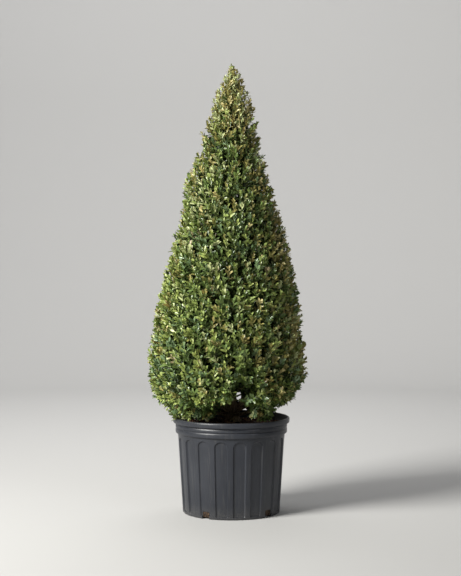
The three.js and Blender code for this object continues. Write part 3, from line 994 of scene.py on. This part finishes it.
@dataclass
class Foliage:
    """The clipped cone and its skirts, grown as shoots from the limbs within them."""

    seed: int = 20
    spacing: float = 0.0212
    shoot: float = 0.076
    margin: float = 0.006
    lift: Section = ((0.335, -0.2), (0.38, 0.4), (0.5, 1.3), (0.9, 1.7), (1.25, 2.2), (1.35, 4.0))
    tuck: float = 0.024
    free_share: float = 0.14
    # Shoots above this height take one step less painted shade.
    less_painted_shade_above: float = 1.2
    inner_share: float = 0.55
    inner_below: float = 1.28
    inner_depth: tuple[float, float] = (0.028, 0.048)
    hem_shoots: int = 150
    hem_shoot: float = 0.058
    skirt_shoot: float = 0.05
    skirt_gap: float = 0.8
    tries: int = 4000
    tier: float = 0.085
    slim_above: float = 0.9
    sectors: tuple[int, int] = (5, 3)
    golden_turn: float = 137.5
    stems_feed_below: float = 0.55
    tiers: tuple[str, ...] = ("foot", "lower", "middle", "upper")
    skirts: tuple[str, ...] = ("skirt_left", "skirt_right", "skirt_back_right", "skirt_back_left")
    stems: tuple[str, ...] = ("stem_front_left", "stem_front", "stem_right", "stem_back", "stem_left")
    bulges: tuple[Bulge, ...] = (
        Bulge(0.012, (1.12, 1.16, 1.25, 1.3)),
        Bulge(0.0096, (0.9, 0.96, 1.07, 1.11), azimuth=-90, width=50),
        Bulge(0.003, (1.25, 1.28, 1.3, 1.35)),
    )
    openings: tuple[Opening, ...] = (
        Opening((0.0206, -0.25, 0.381), (0.0235, 0.25, 0.328), 0.0175),
        Opening((0.014, -0.28, 0.314), (0.014, -0.06, 0.31), 0.047),
        Opening((0.147, -0.09, 0.312), (0.15, 0.13, 0.296), 0.031),
    )

    def __post_init__(self) -> None:
        """Set up chance, the clipped face and the rules of growth."""
        self.rng = np.random.default_rng(self.seed)
        self.envelope = Envelope("clipped_cone")
        self.sprays = Sprays(self.rng)
        self.rule = BranchingRule(self.rng)
        self.tints = [tint.value.material() for tint in Tint]
        self.wood = TwigFinish()
        self.trunk_points = np.array([v.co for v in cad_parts["trunk"].data.vertices])

    def trunk_at(self, height: float) -> Array:
        """The trunk's centre at a height.

        Args:
            height: The height.

        Returns:
            The point.
        """
        height = float(np.clip(height, 0.3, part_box("trunk")[1].z - 0.004))
        weight = bell(self.trunk_points[:, 2], height, 0.03)
        centre = (self.trunk_points * weight[:, None]).sum(axis=0) / weight.sum()
        return np.array([centre[0], centre[1], height])

    @staticmethod
    def limb_end(node: str) -> Array:
        """The outer end of a stem or bough, where it enters its foliage.

        Args:
            node: The CAD solid's name.

        Returns:
            The point.
        """
        points = np.array([v.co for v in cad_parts[node].data.vertices])
        reach = np.linalg.norm(points[:, :2], axis=1) + 0.5 * points[:, 2]
        return points[reach > reach.max() - 0.006].mean(axis=0)

    @staticmethod
    def relief(points: Array) -> Array:
        """How far the face stands out of its outline: soft lumps, tufts and upright clefts.

        Args:
            points: Points on the outline.

        Returns:
            The distance at each point.
        """
        lumps = Relief(0.006, (0.11, 0.11, 0.14), 1.0).at(points)
        tufts = Relief(0.011, (0.032, 0.032, 0.05), 2.0).at(points)
        seam = np.abs(Relief(1.0, (0.055, 0.055, 0.17), 4.0).at(points))
        cleft = -0.026 * np.clip(1 - seam / 0.1, 0, 1) ** 1.3
        broken = smoothstep(-0.15, 0.3, Relief(1.0, (0.1, 0.1, 0.09), 5.0).at(points))
        return lumps + tufts + cleft * broken - 0.001

    def tucked(self, azimuth: Array) -> Array:
        """How far the cone's foot is drawn in, which it is on its right side."""
        return self.tuck * bell(turn_from(azimuth, 0), 85, 45)

    def rows(self) -> tuple[Array, Array]:
        """Give the azimuths and heights of shoots over the cone, in rows that are worked out of line.

        Returns:
            The azimuths and the heights.
        """
        azimuths, heights = [], []
        height, step = self.envelope.low + self.margin, 0.01
        while height < self.envelope.high - self.margin:
            around = self.envelope.mean_radius(height)
            count = max(4, round(2 * math.pi * around / self.spacing))
            jitter = self.rng.uniform(-0.42, 0.42, (2, count))
            azimuths.append((np.arange(count) + self.rng.random() + jitter[0]) * 360 / count)
            heights.append(height + jitter[1] * self.spacing)
            slope = (self.envelope.mean_radius(height + step) - around) / step
            height += self.spacing / math.hypot(1, slope)
        azimuth = np.concatenate(azimuths)
        height = np.clip(np.concatenate(heights), self.envelope.low, self.envelope.high - 0.001)
        return azimuth, np.maximum(height, self.envelope.foot(azimuth) + 0.004)

    def cone_bed(self) -> SprayBed:
        """Lay shoots over the cone: some of those low down stand free of the face.

        Returns:
            The bed of shoots.
        """
        azimuth, height = self.rows()
        count = len(azimuth)
        radius = self.envelope.radius(azimuth, height + 0.004)
        ways = outward(azimuth)
        free = smoothstep(0.8, 0.42, height) * (self.rng.random(count) < self.free_share)
        depth = self.relief(ways * radius[:, None] + height[:, None] * UP)
        depth = depth * (0.3 + 0.7 * smoothstep(0.0, 0.1, radius))
        depth = depth - np.abs(self.rng.normal(0, 0.004, count)) - 0.002
        depth = depth + sum(bulge.at(azimuth, height) for bulge in self.bulges)
        depth = depth + free * self.rng.uniform(0.002, 0.012, count)
        depth = depth - self.tucked(azimuth) * smoothstep(0.42, 0.345, height)
        tips = ways * (radius + depth)[:, None] + height[:, None] * UP
        ways = unit(ways + np.interp(height, *zip(*self.lift))[:, None] * UP)
        ways = unit(ways + self.rng.normal(0, 0.2, tips.shape))
        lengths = np.clip(self.rng.normal(self.shoot, 0.008, count), 0.056, 0.092)
        thin = bell(turn_from(azimuth, 0), 10, 6) * bell(height, 0.375, 0.024)
        kept = self.rng.random(count) > thin
        # Painted shade: shoots near the top take one step less, so their lower pairs keep their tint.
        ages = np.where(height > self.less_painted_shade_above + 0.05 * self.rng.normal(size=count), -1, 0)
        return SprayBed(tips, ways, lengths, ages).take(kept)

    def leader_bed(self) -> SprayBed:
        """Set the leading shoot on the tip, with a few shorter ones round it.

        Returns:
            The bed of shoots.
        """
        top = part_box("clipped_cone")[1].z
        azimuth = np.array([0.0, 20, 95, 160, 235, 300, 350])
        reach = np.array([0.0, 0.005, 0.006, 0.007, 0.007, 0.01, 0.012])
        drop = np.array([0.002, 0.014, 0.018, 0.02, 0.016, 0.024, 0.03])
        aside = outward(azimuth) * reach[:, None]
        tips = self.trunk_at(top) * LEVEL + aside + (top - drop)[:, None] * UP
        return SprayBed(tips, unit(aside * 14 + UP), np.full(7, self.shoot), np.full(7, -1))

    def inner_bed(self, outer: SprayBed) -> SprayBed:
        """Lay the shoots that close the cone behind its face; their darker tints are painted shade.

        Args:
            outer: The bed of the face.

        Returns:
            The bed of shoots.
        """
        count = len(outer.tips)
        chosen = (self.rng.random(count) < self.inner_share) & (outer.tips[:, 2] < self.inner_below)
        depth = self.rng.uniform(*self.inner_depth, count)
        depth = np.minimum(depth, 0.5 * np.linalg.norm(outer.tips[:, :2], axis=1))
        tips = outer.tips - unit(outer.tips * LEVEL) * depth[:, None]
        tips = tips + self.rng.normal(0, 0.006, tips.shape)
        ways = unit(outer.ways + self.rng.normal(0, 0.35, tips.shape))
        # Painted shade: the inner shoots take darker tints than the face.
        return SprayBed(tips, ways, outer.lengths * 0.85, 3 + 2 * outer.ages).take(chosen)

    def hem_bed(self) -> SprayBed:
        """Lay the shoots that hang from the cone's underside.

        Returns:
            The bed of shoots.
        """
        count = self.hem_shoots
        azimuth = self.rng.uniform(0, 360, count)
        inset = np.sqrt(self.rng.uniform(0.3, 1, count))
        foot = self.envelope.foot(azimuth)
        radius = (self.envelope.radius(azimuth, foot + 0.012) - self.tucked(azimuth)) * inset
        height = foot + 0.012 * (1 - inset) + self.rng.uniform(-0.004, 0.01, count)
        tips = outward(azimuth) * radius[:, None] + height[:, None] * UP
        ways = outward(azimuth) * 0.9 - 0.55 * UP + self.rng.normal(0, 0.3, tips.shape)
        # Painted shade: the hanging shoots under the cone take one step of darker tint.
        return SprayBed(tips, unit(ways), np.full(count, self.hem_shoot), np.ones(count, int))

    def skirt_bed(self, node: str) -> SprayBed:
        """Lay shoots over the free side of a skirt, pointing out and down.

        Args:
            node: The skirt's name.

        Returns:
            The bed of shoots.
        """
        work = bmesh.new()
        work.from_mesh(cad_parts[node].data)
        bmesh.ops.triangulate(work, faces=work.faces)
        corners = np.array([[v.co for v in f.verts] for f in work.faces])
        work.free()
        normal = np.cross(corners[:, 1] - corners[:, 0], corners[:, 2] - corners[:, 0])
        below = corners.mean(axis=1)[:, 2] < self.envelope.low + 0.004
        open_side = np.linalg.norm(normal, axis=1) * below
        tries = self.rng.choice(len(corners), self.tries, p=open_side / open_side.sum())
        share = np.sort(self.rng.random((self.tries, 2)), axis=1)
        spread = np.diff(share, axis=1, prepend=0, append=1)
        spots = (corners[tries] * spread[..., None]).sum(axis=1)
        kept: list[int] = []
        gap = self.skirt_gap * self.spacing
        for i, spot in enumerate(spots):
            if not kept or np.linalg.norm(spots[kept] - spot, axis=1).min() > gap:
                kept.append(i)
        normal = unit(normal)[tries[kept]]
        tips = spots[kept] + normal * self.rng.uniform(-0.008, 0.002, (len(kept), 1))
        ways = 0.8 * normal - 0.1 * UP + self.rng.normal(0, 0.3, tips.shape)
        ways = ways + 0.25 * unit(tips * LEVEL)
        lengths = np.full(len(kept), self.skirt_shoot)
        return SprayBed(tips, unit(ways), lengths, np.zeros(len(kept), int))

    def opened(self, bed: SprayBed) -> SprayBed:
        """Keep a bed out of every opening.

        Args:
            bed: The shoots.

        Returns:
            The shoots that are left.
        """
        for opening in self.openings:
            bed = bed.clear_of(opening)
        return bed

    def feed_cone(self, bed: SprayBed) -> Array:
        """Grow the limbs that feed the cone's shoots from the trunk and the stems.

        Args:
            bed: The cone's shoots.

        Returns:
            The fork that each shoot leaves from.
        """
        bases = bed.bases
        origins = np.zeros_like(bases)
        azimuth = azimuth_of(bases) % 360
        reach = np.linalg.norm(bases[:, :2], axis=1)
        ends = [self.limb_end(stem) for stem in self.stems]
        floors = np.append(np.arange(self.envelope.low - 0.05, 1.27, self.tier), 2.0)
        for i, (floor, ceiling) in enumerate(zip(floors[:-1], floors[1:])):
            row = np.flatnonzero((bases[:, 2] >= floor) & (bases[:, 2] < ceiling))
            parts = self.sectors[0] if floor < self.slim_above else self.sectors[1]
            sector = ((azimuth[row] + self.golden_turn * i) % 360 // (360 / parts)).astype(int)
            for part in np.unique(sector):
                chosen = row[sector == part]
                middle = bases[chosen].mean(axis=0)
                start = self.trunk_at(middle[2] - 0.9 * reach[chosen].mean())
                near = min(ends, key=lambda end: float(np.linalg.norm(end[:2] - 0.45 * middle[:2])))
                if floor < self.stems_feed_below and middle[2] > near[2] + 0.02:
                    start = near
                self.rule.grow(bases, chosen, start, origins)
        return origins

    def dress(self, name: str, bed: SprayBed, node: str) -> None:
        """Make the leaves of a bed as one piece.

        Args:
            name: The piece's name.
            bed: The shoots.
            node: The CAD solid that it stands for.
        """
        points, faces, slots = self.sprays.leaves(bed)
        made = piece(name, points, faces, self.tints, slots)
        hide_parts(node)
        report(made)

    def wooden(self, name: str, points: Array, faces: Array, finish: PlainFinish) -> None:
        """Make a piece of young wood.

        Args:
            name: The piece's name.
            points: Vertices.
            faces: Vertex numbers of each face.
            finish: Its finish.
        """
        made = piece(name, points, faces, [finish.material()])
        report(made)

    def build(self) -> None:
        """Grow and dress the whole of the foliage."""
        face = self.cone_bed()
        cone = self.opened(SprayBed.join([face, self.leader_bed(), self.inner_bed(face), self.hem_bed()]))
        beds, origins = [cone], [self.feed_cone(cone)]
        self.rule.rise = -0.05
        for node in self.skirts:
            skirt = self.opened(self.skirt_bed(node))
            fork = np.zeros_like(skirt.tips)
            end = self.limb_end(node.replace("skirt", "bough"))
            self.rule.grow(skirt.bases, np.arange(len(skirt.tips)), end, fork)
            beds.append(skirt)
            origins.append(fork)
            self.dress("leaves_" + node, skirt, node)
        order = np.array_split(np.argsort(cone.tips[:, 2]), len(self.tiers))
        for tier, chosen in zip(self.tiers, order):
            self.dress("leaves_cone_" + tier, cone.take(chosen), "clipped_cone")
        points, faces = self.sprays.twigs(SprayBed.join(beds), np.concatenate(origins))
        self.wooden("shoots", points, faces, self.wood.shoot)
        points, faces = tubes(np.array(self.rule.paths), np.array(self.rule.radii), 4)
        self.wooden("branchlets", points, faces, self.wood.limb)


# ---------------------------------------------------------------------------
# Wood
# ---------------------------------------------------------------------------


@dataclass
class Wood:
    """The trunk, stems and boughs as one skin of ridged bark."""

    voxel: float = 0.0019
    relief: float = 0.0011
    ridge_cell: Place = (0.007, 0.007, 0.045)
    plate_cell: Place = (0.004, 0.004, 0.012)
    finish: BarkFinish = field(default_factory=BarkFinish)

    def build(self) -> None:
        """Join the limbs, skin them anew and raise the bark on them."""
        nodes = [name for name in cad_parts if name.startswith(("trunk", "stem_", "bough_"))]
        work = bmesh.new()
        for name in nodes:
            work.from_mesh(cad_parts[name].data)
        mesh = bpy.data.meshes.new("wood")
        work.to_mesh(mesh)
        work.free()
        made = put("bark", mesh)
        skin = made.modifiers.new("skin", "REMESH")
        skin.mode, skin.voxel_size = "VOXEL", self.voxel
        even = made.modifiers.new("even", "SMOOTH")
        even.factor, even.iterations = 0.5, 3
        made.data = applied(made)
        made.modifiers.clear()
        self.raise_bark(made.data)
        made.data.materials.clear()
        made.data.materials.append(self.finish.material())
        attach(made, ROOT)
        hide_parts(*nodes)
        report(made)

    def raise_bark(self, mesh: bpy.types.Mesh) -> None:
        """Raise ridges and plates on the wood, most of them low down.

        Args:
            mesh: The skinned wood.
        """
        points = np.array([v.co for v in mesh.vertices])
        normals = np.array([v.normal for v in mesh.vertices])
        ridges = 1 - 2 * np.abs(Relief(1.0, self.ridge_cell, 6.0).at(points))
        plates = Relief(0.5, self.plate_cell, 7.0).at(points)
        rise = self.relief * (ridges + plates) * (0.35 + 0.65 * smoothstep(0.6, 0.3, points[:, 2]))
        points = points + normals * rise[:, None]
        mesh.vertices.foreach_set("co", points.astype(np.float32).ravel())
        mesh.shade_smooth()
        mesh.update()


# ---------------------------------------------------------------------------
# Container and potting mix
# ---------------------------------------------------------------------------


@dataclass
class Container:
    """The nursery container: a moulded tub with flutes, a ribbed collar, a rolled lip and notches.

    The collar's section is given from its foot, and the lip's from its outer edge and its top. The bevels
    say how high each row is past the foot or the arch of a flute, and what share of its depth it has.
    """

    height: float = 0.291
    lip: float = 0.178
    wall_top: float = 0.1635
    wall_foot: float = 0.1485
    thickness: float = 0.0052
    collar: float = 0.1705
    collar_foot: float = 0.244
    collar_section: Section = (
        (-0.0012, 0.0008),
        (-0.0004, 0.0022),
        (0.0, 0.005),
        (0.0, 0.011),
        (-0.0003, 0.0135),
        (-0.0012, 0.0148),
        (-0.0022, 0.0158),
        (-0.0022, 0.0168),
        (-0.001, 0.0176),
        (0.0, 0.0186),
        (0.0002, 0.0215),
        (0.0, 0.0248),
        (-0.0008, 0.0262),
        (-0.0012, 0.0276),
        (-0.0006, 0.0286),
        (0.0012, 0.0298),
    )
    lip_section: Section = (
        (-0.0042, -0.0162),
        (-0.0022, -0.0158),
        (-0.0008, -0.0148),
        (-0.0002, -0.0125),
        (0.0, -0.008),
        (-0.0001, -0.004),
        (-0.0009, -0.0017),
        (-0.0024, -0.0004),
        (-0.0042, 0.0),
        (-0.0055, -0.0008),
        (-0.0062, -0.003),
        (-0.0068, -0.012),
        (-0.0109, -0.02),
    )
    heel: float = 0.0046
    flutes: int = 18
    first_flute: float = 8.8
    flute_half: float = 7.2
    flute_edge: float = 1.15
    flute_depth: float = 0.0039
    flute_spring: float = 0.2135
    flute_rise: float = 0.0195
    flute_foot: float = 0.0075
    foot_bevel: Section = ((-0.0012, 0.0), (0.0, 0.0), (0.0012, 0.6), (0.0024, 1.0))
    arch_bevel: Section = ((-0.0018, 0.94), (-0.0008, 0.6), (0.0002, 0.2), (0.0012, 0.0))
    notches: tuple[int, ...] = (-2, 2, 7, 11)
    notch: Place = (0.024, 0.04, 0.044)
    finish: MouldedPlasticFinish = field(default_factory=MouldedPlasticFinish)

    @property
    def pitch(self) -> float:
        """The angle from one flute to the next."""
        return 360 / self.flutes

    def wall(self, height: Array | float) -> Array | float:
        """The outside radius of the plain wall at a height."""
        return self.wall_foot + (self.wall_top - self.wall_foot) * height / self.collar_foot

    def columns(self) -> Array:
        """The azimuths of the mesh's columns, crowded at the flutes' edges.

        Returns:
            One azimuth a column.
        """
        inner = [0, 1.5, 3, 4.4, 5.2, 5.7]
        edge = [self.flute_half + past for past in (-self.flute_edge, -0.8, -0.5, -0.2, 0, 0.4, 1.1)]
        half = np.array([*inner, *edge, self.pitch / 2 - 0.45])
        centres = self.first_flute + np.arange(self.flutes) * self.pitch
        return (centres[:, None] + np.concatenate([-half[:0:-1], half])[None]).ravel()

    def foot_section(self) -> list[tuple[float, float]]:
        """The section from the middle of the underside out to the heel and round it.

        Returns:
            The radius and the height of each row.
        """
        inset = self.wall_foot - self.heel
        section = [(radius, 0.0) for radius in (0.06, 0.12, inset - 0.004, inset - 0.0008)]
        for slope in np.radians([20, 40, 60, 78]):
            section.append((inset + self.heel * math.sin(slope), self.heel * (1 - math.cos(slope))))
        return section

    def fluted_wall(self, azimuth: Array) -> list[tuple[Array, Array]]:
        """Give the wall's rows, from the flutes' feet to the collar.

        Args:
            azimuth: The azimuths of the mesh's columns.

        Returns:
            The radius and the height of each row at each column.
        """
        across = np.abs(turn_from(azimuth, self.first_flute, self.pitch))
        inside = 1 - smoothstep(self.flute_half - self.flute_edge, self.flute_half, across)
        round_top = np.sqrt(np.clip(1 - (across / self.flute_half) ** 2, 0, 1))
        arch = self.flute_spring + self.flute_rise * round_top
        foot, above, top = self.flute_foot + 0.0024, arch + 0.0024, self.collar_foot - 0.0008
        rows = [(self.flute_foot + up, sunk) for up, sunk in self.foot_bevel]
        rows += [(foot + share * (arch - 0.0028 - foot), 1) for share in np.linspace(0.04, 1, 22)]
        rows += [(arch + up, sunk) for up, sunk in self.arch_bevel]
        rows += [(above + share * (top - above), 0) for share in (0, 0.35, 0.7, 1)]
        return [(self.wall(height) - self.flute_depth * sunk * inside, height) for height, sunk in rows]

    def upper_section(self) -> list[tuple[float, float]]:
        """The section from the collar's foot, over the lip and down the inside to the floor.

        Returns:
            The radius and the height of each row.
        """
        top, foot, floor = self.wall_top, self.collar_foot, self.wall(0.012) - self.thickness
        section = [(top + 0.0004, foot - 0.0006), (top + 0.0024, foot)]
        section += [(self.collar + out, foot + up) for out, up in self.collar_section]
        section += [(self.lip + out, self.height + up) for out, up in self.lip_section]
        section.append((self.wall(foot) - self.thickness, foot - 0.002))
        section += [(self.wall(height) - self.thickness, height) for height in (0.2, 0.1, 0.012)]
        return [*section, (floor - 0.0015, 0.006), (floor - 0.006, self.thickness), (0.1, self.thickness)]

    def build(self) -> None:
        """Mould the tub, cut its notches and give it its skin."""
        azimuth = self.columns()
        ways, level = outward(azimuth), np.ones((len(azimuth), 1))
        rows = [*self.foot_section(), *self.fluted_wall(azimuth), *self.upper_section()]
        rings = [ways * np.reshape(r, (-1, 1)) + level * np.reshape(z, (-1, 1)) * UP for r, z in rows]
        points, quads, fans = lathe(rings, 0.0, self.thickness)
        mesh = bpy.data.meshes.new("container")
        mesh.from_pydata(points.tolist(), [], quads.tolist() + fans.tolist())
        mesh.shade_smooth()
        made = put("container", mesh)
        self.cut_notches(made)
        crease(made, 38)
        made.data.materials.clear()
        made.data.materials.append(self.finish.material())
        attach(made, ROOT)
        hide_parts("pot")
        report(made)

    def cut_notches(self, made: bpy.types.Object) -> None:
        """Cut the drain notches out of the heel with rounded blocks.

        Args:
            made: The container.
        """
        work = bmesh.new()
        for index in self.notches:
            azimuth = self.first_flute + index * self.pitch
            middle = outward(np.array(azimuth)) * self.wall_foot
            cos, sin = math.cos(math.radians(azimuth)), math.sin(math.radians(azimuth))
            for vert in bmesh.ops.create_cube(work, size=1.0)["verts"]:
                x, y, z = vert.co * Vector(self.notch)
                vert.co = middle + [x * cos - y * sin, x * sin + y * cos, z]
        bmesh.ops.bevel(work, geom=work.edges[:], offset=0.003, segments=3, affect="EDGES", profile=0.5)
        mesh = bpy.data.meshes.new("notch_tool")
        work.to_mesh(mesh)
        work.free()
        tool = put("notch_tool", mesh)
        cut = made.modifiers.new("notches", "BOOLEAN")
        cut.object, cut.operation, cut.solver = tool, "DIFFERENCE", "MANIFOLD"
        made.data = applied(made)
        made.modifiers.clear()
        bpy.data.objects.remove(tool)


@dataclass
class PottingMix:
    """The bark-based mix in the container, mounded at the trunk, with chips of bark lying on it."""

    columns: int = 144
    level: float = 0.267
    side: Section = ((0.0, 0.1426), (0.244, 0.1572))
    mound: float = 0.009
    waves: Relief = Relief(0.0022, (0.035, 0.035, 1), 8.0)
    crumbs: Relief = Relief(0.0016, (0.008, 0.008, 1), 9.0)
    dents: Relief = Relief(0.0012, (0.006, 0.006, 0.006), 10.0)
    chips: int = 1500
    seed: int = 8
    finish: PottingMixFinish = field(default_factory=PottingMixFinish)

    def surface(self, spots: Array) -> Array:
        """The height of the mix at points over the ground, flat coordinates in each row.

        Args:
            spots: One x and y a row.

        Returns:
            The height at each point.
        """
        past = np.maximum(0, np.linalg.norm(spots, axis=1) - 0.038)
        flat = np.column_stack([spots, np.zeros(len(spots))])
        rough = self.waves.at(flat) + self.crumbs.at(flat)
        return self.level + self.mound * bell(past, 0, 0.06) + rough + 0.001

    def build(self) -> None:
        """Fill the container and scatter the chips."""
        low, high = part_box("potting_mix")
        rim, foot, shoulder = high.x - 0.0004, low.z + 0.0002, self.level - 0.006
        ways = outward(np.arange(self.columns) * 360 / self.columns)
        rings = [ways * r + foot * UP for r in (0.03, 0.08, 0.12, self.side[0][1] - 0.004)]
        for height in np.linspace(low.z + 0.002, shoulder, 20):
            spot = ways * np.interp(height, *zip(*self.side, (shoulder, rim))) + height * UP
            rings.append(spot - ways * np.abs(self.dents.at(spot))[:, None])
        for radius in np.linspace(rim - 0.001, 0.004, 62):
            flat = ways[:, :2] * radius
            rings.append(np.column_stack([flat, self.surface(flat)]))
        points, quads, fans = lathe(rings, foot, self.level + self.mound)
        faces = np.concatenate([quads[:, [0, 1, 2]], quads[:, [0, 2, 3]], fans])
        made = piece("mix", points, faces, [self.finish.material()])
        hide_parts("potting_mix")
        report(made)
        self.scatter(rim)

    def scatter(self, rim: float) -> None:
        """Lay uneven chips of bark flat on the mix.

        Args:
            rim: The radius that they stay within.
        """
        rng, count = np.random.default_rng(self.seed), self.chips
        work = bmesh.new()
        bmesh.ops.create_icosphere(work, subdivisions=1, radius=1.0)
        knob = np.array([v.co for v in work.verts])
        corners = np.array([[v.index for v in f.verts] for f in work.faces])
        work.free()
        reach = rim * np.sqrt(rng.uniform(0.02, 0.93, count))
        spots = outward(rng.uniform(0, 360, count))[:, :2] * reach[:, None]
        long = rng.gamma(3.0, 0.0011, count) + 0.0016
        broad, thick = long * rng.uniform(0.4, 0.8, count), long * rng.uniform(0.16, 0.4, count)
        size = np.stack([long, broad, thick], axis=-1)
        shape = knob[None] * rng.uniform(0.6, 1.2, (count, len(knob), 1)) * size[:, None]
        turn, tip = rng.uniform(0, 2 * np.pi, count), rng.normal(0, 0.35, count)
        x, y, z = np.moveaxis(shape, -1, 0)
        z, x = rotate(z, x, tip)
        x, y = rotate(x, y, turn)
        z = z + (self.surface(spots) + 0.3 * size[:, 2])[:, None]
        points = np.stack([x + spots[:, :1], y + spots[:, 1:], z], axis=-1)
        faces = corners[None] + (np.arange(count) * len(knob))[:, None, None]
        kind = rng.choice(len(self.finish.chips), count, p=self.finish.shares)
        finishes = [chip.material() for chip in self.finish.chips]
        slots = np.repeat(kind, len(corners))
        made = piece("bark_chips", points.reshape(-1, 3), faces.reshape(-1, 3), finishes, slots)
        made.data.shade_flat()
        report(made)


# ---------------------------------------------------------------------------
# Studio
# ---------------------------------------------------------------------------


@dataclass(frozen=True)
class Lamp:
    """A square soft light that faces a point and spreads over an angle in degrees."""

    name: str
    place: Place
    size: float
    power: float
    color: Color
    aim: Place = PLANT
    beam: float = 180

    def hang(self) -> None:
        """Put the light in the scene."""
        light = bpy.data.lights.new(self.name, "AREA")
        light.shape, light.size, light.spread = "SQUARE", self.size, math.radians(self.beam)
        light.energy, light.color = self.power, self.color[:3]
        made = put(self.name, light)
        made.location = self.place
        made.rotation_euler = (Vector(self.aim) - Vector(self.place)).to_track_quat("-Z", "Y").to_euler()


@dataclass
class Studio:
    """A pale seamless bowl of a studio, a soft key light from the left, a weak fill and the camera."""

    distance: float = 4.12
    eye: float = 0.80
    pitch: float = 1.61
    lens: float = 84.4
    aside: float = -0.0026
    paper: PlainFinish = PlainFinish("studio_paper", paint("c1c1c0"), 0.95, 0.1)
    bend: float = 1.9
    reach: float = 5.6
    high: float = 3.4
    sides: int = 128
    lamps: tuple[Lamp, ...] = (
        Lamp("key", (-3.05, -2.25, 2.6), 1.7, 146, paint("fffdf8"), beam=112),
        Lamp("fill", (2.8, -3.0, 1.8), 1.6, 21, paint("f6f8ff")),
        Lamp("wash", (-0.3, 1.8, 4.0), 2.5, 140, paint("fdfcfc"), aim=(-1.1, 5.6, 0.3)),
    )
    room: Color = paint("eceae6")
    room_light: float = 0.1

    def sweep(self) -> None:
        """Make the round floor that curves up into a low wall on every side."""
        section = [(r, 0.0) for r in (0.5, 1.5, 2.6)]
        for a in np.linspace(0, math.pi / 2, 24):
            section.append((self.reach - self.bend * (1 - math.sin(a)), self.bend * (1 - math.cos(a))))
        section.append((self.reach, self.high))
        ways = outward(np.arange(self.sides) * 360 / self.sides)
        points, quads, fan = lathe([ways * r + z * UP for r, z in section], 0.0)
        mesh = bpy.data.meshes.new("sweep")
        mesh.from_pydata(points.tolist(), [], quads[:, ::-1].tolist() + fan[:, ::-1].tolist())
        mesh.shade_smooth()
        mesh.materials.append(self.paper.material())
        put("sweep", mesh)

    def build(self) -> None:
        """Set the sweep, the lights, the surroundings and the camera."""
        self.sweep()
        for lamp in self.lamps:
            lamp.hang()
        world = bpy.data.worlds.new("room")
        world.use_nodes = True
        world.node_tree.nodes["Background"].inputs["Color"].default_value = self.room
        world.node_tree.nodes["Background"].inputs["Strength"].default_value = self.room_light
        scene = bpy.context.scene
        scene.world = world
        scene.view_settings.view_transform = "Standard"
        lens = bpy.data.cameras.new("camera")
        lens.sensor_fit, lens.sensor_height, lens.lens = "VERTICAL", 36.0, self.lens
        scene.camera = put("camera", lens)
        scene.camera.location = (self.aside, -self.distance, self.eye)
        scene.camera.rotation_euler = (math.radians(90 - self.pitch), 0, 0)


def main() -> None:
    """Build every sub-assembly in order and report its pieces."""
    logging.basicConfig(level=logging.INFO, format="%(message)s")
    for assembly in (Container(), PottingMix(), Wood(), Foliage(), Studio()):
        LOG.info("building %s", type(assembly).__name__)
        assembly.build()


if __name__ == "__main__":
    main()
